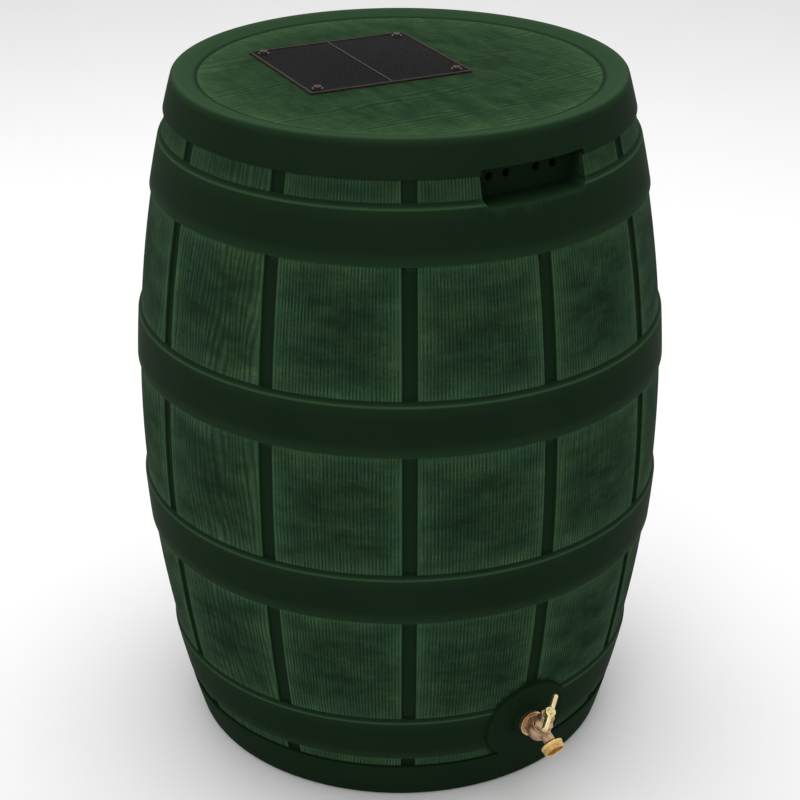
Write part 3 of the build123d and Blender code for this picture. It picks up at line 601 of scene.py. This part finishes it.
def casting(node, name):
    """A CAD casting with its edges softened, as a new piece that replaces the node."""
    piece = bpy.data.objects.new(name, nodes[node].data.copy())
    bpy.context.scene.collection.objects.link(piece)
    remesh = piece.modifiers.new("skin", "REMESH")
    remesh.mode = "VOXEL"
    remesh.voxel_size = CAST_VOXEL
    relax = piece.modifiers.new("soften", "SMOOTH")
    relax.factor, relax.iterations = CAST_SOFTENING["factor"], CAST_SOFTENING["iterations"]
    apply_modifiers(piece)
    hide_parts(node)
    return piece


THREAD_PITCH = 0.0254 / 11.5
THREAD_DEPTH = 0.0011
THREAD_ZONE = (0.9, 1.02)       # points between these shares of the thread's radius belong to it
OUTLET_TURNED = 0.0067          # from the thread's middle back to the ring's rear face
FLANGE_R = 0.0162
FLANGE_FRONT = 0.3025
FLANGE_BRIGHT = 0.0012          # width of the flange's polished rim


def outlet():
    """Centre and axis of the outlet's thread."""
    mount = mounts["outlet_thread"]
    return Vector(mount["pos_m"]), Vector(mount["axis"]).normalized()


def cut_thread(piece):
    """Cut the outlet's hose thread into the plain cylinder that the CAD leaves there."""
    centre, axis = outlet()
    side = Vector((1, 0, 0))
    third = axis.cross(side)
    dims = mounts["outlet_thread"]["dims"]
    radius, length = dims["r_mm"] / 1000, dims["length_mm"] / 1000
    for vertex in piece.data.vertices:
        arm = vertex.co - centre
        along = arm.dot(axis)
        flat = arm - axis * along
        if abs(along) < length / 2 and THREAD_ZONE[0] < flat.length / radius < THREAD_ZONE[1]:
            phase = along / THREAD_PITCH + np.arctan2(flat.dot(third), flat.dot(side)) / tau
            depth = THREAD_DEPTH * (0.5 - 0.5 * cos(tau * phase))
            vertex.co -= flat.normalized() * depth


def mark_turned(piece, material):
    """Give the machined faces of the tap, its outlet and the rim of its flange, a second material."""
    centre, axis = outlet()
    piece.data.materials.append(material)
    for face in piece.data.polygons:
        at_outlet = (face.center - centre).dot(axis) > -OUTLET_TURNED
        from_axis = Vector((face.center.x, 0, face.center.z - TAP_Z)).length
        at_flange = -face.center.y < FLANGE_FRONT and from_axis > FLANGE_R - FLANGE_BRIGHT
        face.material_index = int(at_outlet or at_flange)


# ---- materials ----------------------------------------------------------------------------
class Material:
    """A node material built a node at a time around one Principled shader."""

    def __init__(self, name, roughness, metallic=0.0, specular=0.5):
        self.material = bpy.data.materials.new(name)
        self.material.use_nodes = True
        self.tree = self.material.node_tree
        self.shader = self.tree.nodes["Principled BSDF"]
        self.shader.inputs["Roughness"].default_value = roughness
        self.shader.inputs["Metallic"].default_value = metallic
        self.shader.inputs["Specular IOR Level"].default_value = specular

    def add(self, kind, settings=None, **inputs):
        """A node with its settings, and its inputs as values or as other nodes' sockets."""
        made = self.tree.nodes.new(kind)
        for key, value in (settings or {}).items():
            setattr(made, key, value)
        for key, value in inputs.items():
            at = int(key[1:]) if key[1:].isdigit() else key.replace("_", " ")
            socket = made.inputs[at]
            if isinstance(value, bpy.types.NodeSocket):
                self.tree.links.new(value, socket)
            else:
                socket.default_value = value
        return made

    def attribute(self, name):
        return self.add("ShaderNodeAttribute", {"attribute_name": name})

    def math(self, operation, *values):
        inputs = {f"i{k}": v for k, v in enumerate(values)}
        return self.add("ShaderNodeMath", {"operation": operation}, **inputs).outputs[0]

    def scaled(self, vector, factors):
        inputs = {"i0": vector, "i1": factors}
        return self.add("ShaderNodeVectorMath", {"operation": "MULTIPLY"}, **inputs).outputs[0]

    def noise(self, vector, scale, detail=2.0, roughness=0.5):
        inputs = {"Vector": vector, "Scale": scale, "Detail": detail, "Roughness": roughness}
        return self.add("ShaderNodeTexNoise", **inputs).outputs["Fac"]

    def remap(self, value, low, high, to_low=0.0, to_high=1.0):
        inputs = {"Value": value, "i1": low, "i2": high, "i3": to_low, "i4": to_high}
        return self.add("ShaderNodeMapRange", **inputs).outputs[0]

    def mix(self, share, one, two):
        inputs = {"i0": share, "i6": one, "i7": two}
        return self.add("ShaderNodeMix", {"data_type": "RGBA"}, **inputs).outputs[2]

    def colour(self, socket):
        self.tree.links.new(socket, self.shader.inputs["Base Color"])

    def rough(self, socket):
        self.tree.links.new(socket, self.shader.inputs["Roughness"])

    def bump(self, height, distance, strength=1.0):
        inputs = {"Strength": strength, "Distance": distance, "Height": height}
        made = self.add("ShaderNodeBump", **inputs)
        self.tree.links.new(made.outputs[0], self.shader.inputs["Normal"])

    def place(self):
        return self.add("ShaderNodeTexCoord").outputs["Object"]


def rgb(r, g, b):
    return (r, g, b, 1.0)


RIB_PITCH = 0.0039
RIB_DRIFT = 0.0045
RING_PITCH = 0.0062
RING_DRIFT = 0.085
BAND_GREENS = rgb(0.0060, 0.0150, 0.0068), rgb(0.0088, 0.0204, 0.0094)
STAVE_HOLLOW = rgb(0.0060, 0.0158, 0.0078)
STAVE_CRESTS = rgb(0.040, 0.094, 0.049), rgb(0.050, 0.100, 0.044)
DISC_GREENS = rgb(0.0073, 0.0206, 0.0088), rgb(0.0465, 0.100, 0.040)
# painted highlight colour for the lighter lines along the moulding's edges
EDGE_HIGHLIGHT_GREEN = rgb(0.034, 0.078, 0.034)
EDGE_HIGHLIGHT_COVER = 0.75               # share of the painted highlight colour on an edge
BARREL_SPECULAR = 0.008


def green_plastic():
    """Dark green moulded plastic: smooth bands, and staves with pressed wood grain."""
    m = Material("barrel_green_plastic", 0.5, specular=BARREL_SPECULAR)
    grain = m.attribute("grain").outputs["Vector"]
    # 'edge' carries the painted highlight along the moulding's edges
    wood, edge, kind, worn = (m.attribute(n).outputs["Fac"] for n in ("wood", "edge", "kind", "worn"))
    split = m.add("ShaderNodeSeparateXYZ", Vector=grain)
    across, on_disc = split.outputs[0], split.outputs[2]
    # ribs, a little out of line
    drift = m.noise(m.scaled(grain, (38, 5, 0)), 1.0)
    shifted = m.math("MULTIPLY_ADD", drift, RIB_DRIFT, across)
    rib = m.math("SINE", m.math("MULTIPLY", shifted, tau / RIB_PITCH))
    broken = m.remap(m.noise(m.scaled(grain, (60, 90, 0)), 1.0, 2.0), 0.35, 0.65, 0.12, 0.46)
    rib = m.math("MULTIPLY_ADD", rib, broken, 0.5)
    # broad rings of flat-sawn wood
    bend = m.noise(m.scaled(grain, (11, 2.2, 0)), 1.0, 3.0)
    ring = m.math("MULTIPLY_ADD", bend, RING_DRIFT, across)
    ring = m.math("SINE", m.math("MULTIPLY", ring, tau / RING_PITCH))
    ring = m.math("MULTIPLY_ADD", ring, 0.26, 0.5)
    patch = m.noise(m.scaled(grain, (9, 4, 0)), 1.0, 2.0)
    select = m.remap(m.math("ADD", patch, kind), 0.85, 1.15)
    lines = m.add("ShaderNodeMix", i0=select, i2=rib, i3=ring).outputs[0]
    fibre = m.noise(m.scaled(grain, (430, 26, 0)), 1.0, 3.0, 0.6)
    hatch = m.noise(m.scaled(grain, (120, 520, 0)), 1.0, 2.0)
    height = m.math("MULTIPLY_ADD", fibre, 0.9, m.math("MULTIPLY_ADD", hatch, 0.45, lines))
    # colour: darker in the hollows, rubbed lighter on the crests in patches
    blotch = m.noise(m.scaled(grain, (20, 44, 0)), 1.0, 5.0, 0.62)
    crest = m.remap(height, 0.7, 1.75)
    dusty = m.math("MULTIPLY_ADD", worn, 0.5, m.remap(blotch, 0.36, 0.72, 0.12, 0.75))
    rubbed = m.math("MULTIPLY_ADD", crest, dusty, m.math("MULTIPLY", worn, 0.12))
    tint = m.noise(m.scaled(grain, (12, 22, 0)), 1.0, 3.0)
    stave = m.mix(rubbed, STAVE_HOLLOW, m.mix(m.remap(tint, 0.4, 0.62), *STAVE_CRESTS))
    fine = m.noise(m.place(), 900.0, 2.0)
    cloud = m.noise(m.place(), 9.0, 3.0)
    body = m.mix(wood, m.mix(cloud, *BAND_GREENS), m.mix(on_disc, stave, m.mix(rubbed, *DISC_GREENS)))
    # painted highlight: the lighter green laid along the moulding's edges by the 'edge' mask
    m.colour(m.mix(m.math("MULTIPLY", edge, EDGE_HIGHLIGHT_COVER), body, EDGE_HIGHLIGHT_GREEN))
    rough = m.remap(cloud, 0.3, 0.7, 0.50, 0.60)
    m.rough(m.math("MULTIPLY_ADD", wood, 0.12, rough))
    depth = m.math("MULTIPLY", height, wood)
    m.bump(m.math("MULTIPLY_ADD", fine, 0.08, depth), 0.0006, 0.9)
    return m.material


def brass(name, base, dark, roughness, speckle, bump):
    """Brass with uneven tarnish, fine speckle and a slightly rough skin."""
    m = Material(name, roughness, metallic=1.0)
    stain = m.noise(m.place(), 120.0, 4.0, 0.65)
    grit = m.noise(m.place(), speckle, 3.0, 0.7)
    share = m.math("MULTIPLY_ADD", grit, 0.35, m.remap(stain, 0.35, 0.7, 0.0, 0.65))
    m.colour(m.mix(share, base, dark))
    m.rough(m.math("MULTIPLY_ADD", share, 0.22, roughness))
    m.bump(grit, bump, 0.6)
    return m.material


def plain_finish(name, one, two, roughness, scale, bump, metallic=0.0, specular=0.5):
    """A small part's finish: two near colours in fine patches over a fine bump."""
    m = Material(name, roughness, metallic=metallic, specular=specular)
    patch = m.noise(m.place(), scale, 3.0, 0.6)
    m.colour(m.mix(m.remap(patch, 0.35, 0.65), one, two))
    m.rough(m.remap(patch, 0.3, 0.7, roughness - 0.06, roughness + 0.1))
    m.bump(patch, bump, 0.7)
    return m.material


def dress(piece, material):
    """Give a piece one material."""
    piece.data.materials.clear()
    piece.data.materials.append(material)


# ---- build the pieces ---------------------------------------------------------------------
skin = make_skin()
paint_skin(skin)
smooth(skin, SMOOTH_SKIN)
dress(skin, green_plastic())
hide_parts("barrel_shell")
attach(skin, "barrel")

panel = make_mesh_panel()
dress(panel, plain_finish("mesh_black_yarn", rgb(0.0095, 0.0085, 0.0095), rgb(0.018, 0.0165, 0.018),
                          roughness=0.7, scale=260, bump=0.0001, specular=0.04))
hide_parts("screen_mesh")
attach(panel, "barrel")

cast = brass("cast_brass_skin", rgb(0.66, 0.45, 0.29), rgb(0.34, 0.21, 0.13),
             roughness=0.36, speckle=2600, bump=0.00012)
bright = brass("bright_brass", rgb(0.86, 0.64, 0.27), rgb(0.55, 0.36, 0.13),
               roughness=0.22, speckle=3200, bump=0.00003)
tumbled = brass("tumbled_brass", rgb(0.88, 0.74, 0.40), rgb(0.62, 0.50, 0.24),
                roughness=0.24, speckle=1800, bump=0.00005)

for node, name, finish, slot, body in (
    ("tap_body", "tap_casting", cast, "cast_brass", "barrel"),
    ("bonnet", "bonnet_casting", cast, "cast_brass", "barrel"),
    ("packing_nut", "packing_nut_casting", cast, "cast_brass", "barrel"),
    ("tee_handle", "tee_handle_casting", tumbled, "handle_brass", "handle"),
):
    piece = casting(node, name)
    dress(piece, finish)
    if node == "tap_body":
        cut_thread(piece)
        mark_turned(piece, bright)
    smooth(piece, SMOOTH_CASTING)
    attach(piece, body)

rubber = plain_finish("black_rubber", rgb(0.015, 0.015, 0.015), rgb(0.03, 0.03, 0.03),
                      roughness=0.7, scale=900, bump=0.0001)
bronze = plain_finish("bronze_plate", rgb(0.022, 0.016, 0.014), rgb(0.070, 0.052, 0.044),
                      roughness=0.34, scale=700, bump=0.00005, metallic=0.6, specular=0.2)
binding = plain_finish("brown_binding", rgb(0.016, 0.010, 0.009), rgb(0.034, 0.020, 0.016),
                       roughness=0.6, scale=160, bump=0.0001, specular=0.1)
wire = plain_finish("grey_wire", rgb(0.032, 0.032, 0.034), rgb(0.060, 0.060, 0.062),
                    roughness=0.6, scale=300, bump=0.0001, specular=0.1)
fibre = plain_finish("brown_fibre", rgb(0.11, 0.045, 0.028), rgb(0.19, 0.085, 0.055),
                     roughness=0.75, scale=500, bump=0.0001)
yarn = plain_finish("graphite_yarn", rgb(0.04, 0.04, 0.042), rgb(0.09, 0.09, 0.095),
                    roughness=0.5, scale=800, bump=0.0002)
for node, finish in {
    "screen_edge_binding": binding, "screen_centre_wire": wire,
    "screen_washers": bronze, "screen_screws": bronze, "screen_inserts": bright, "tap_insert": bright,
    "tap_gasket": rubber, "seat_washer": rubber, "bonnet_gasket": fibre, "stem_packing": yarn,
    "disc_holder": bright, "washer_screw": bright, "valve_stem": bright, "handle_screw": tumbled,
}.items():
    dress(nodes[node], finish)

# ---- stage --------------------------------------------------------------------------------
FLOOR_HALF = 30
corners = [(x * FLOOR_HALF, y * FLOOR_HALF, 0) for x, y in ((-1, -1), (1, -1), (1, 1), (-1, 1))]
floor = new_object("floor", corners, [(0, 1, 2, 3)])
ground = Material("pale_floor", 0.9)
ground.colour(ground.mix(ground.noise(ground.place(), 3.0), rgb(0.86, 0.86, 0.86), rgb(0.88, 0.88, 0.88)))
dress(floor, ground.material)


def area_light(name, place, target, size, power):
    """Square soft light aimed at a point."""
    light = bpy.data.lights.new(name, "AREA")
    light.shape, light.size, light.energy = "SQUARE", size, power
    thing = bpy.data.objects.new(name, light)
    thing.location = place
    thing.visible_camera = False
    thing.rotation_euler = (Vector(target) - Vector(place)).to_track_quat("-Z", "Y").to_euler()
    bpy.context.scene.collection.objects.link(thing)


CAMERA_PLACE = Vector((-1.1520, -1.8437, 1.4757))
VIEW_TURN = radians(-32)
VIEW_TILT = radians(63.87)      # up from straight down
LENS_MM = 86.74
SENSOR_MM = 36
WORLD_STRENGTH = 0.75
ahead = Vector((-sin(VIEW_TURN), cos(VIEW_TURN), 0))
aside = Vector((cos(VIEW_TURN), sin(VIEW_TURN), 0))
middle = Vector((0, 0, HEIGHT / 2))

area_light("top", Vector((0, 0, 3.2)) + ahead * 0.6, (0, 0, HEIGHT), size=3.0, power=60)
area_light("left", -aside * 2.6 + ahead * 1.0 + Vector((0, 0, 1.0)), middle, size=2.0, power=9)
area_light("right", aside * 2.6 + ahead * 0.9 + Vector((0, 0, 1.0)), middle, size=2.0, power=5)
area_light("front", -ahead * 3.4 - aside * 1.4 + Vector((0, 0, 2.4)), middle, size=1.6, power=22)

world = bpy.data.worlds.new("studio")
world.use_nodes = True
world.node_tree.nodes["Background"].inputs["Color"].default_value = (1, 1, 1, 1)
world.node_tree.nodes["Background"].inputs["Strength"].default_value = WORLD_STRENGTH
bpy.context.scene.world = world
bpy.context.scene.view_settings.view_transform = "Standard"

camera = bpy.data.cameras.new("camera")
camera.lens = LENS_MM
camera.sensor_width = SENSOR_MM
view = bpy.data.objects.new("camera", camera)
view.location = CAMERA_PLACE
view.rotation_euler = (VIEW_TILT, 0, VIEW_TURN)
bpy.context.scene.collection.objects.link(view)
bpy.context.scene.camera = view
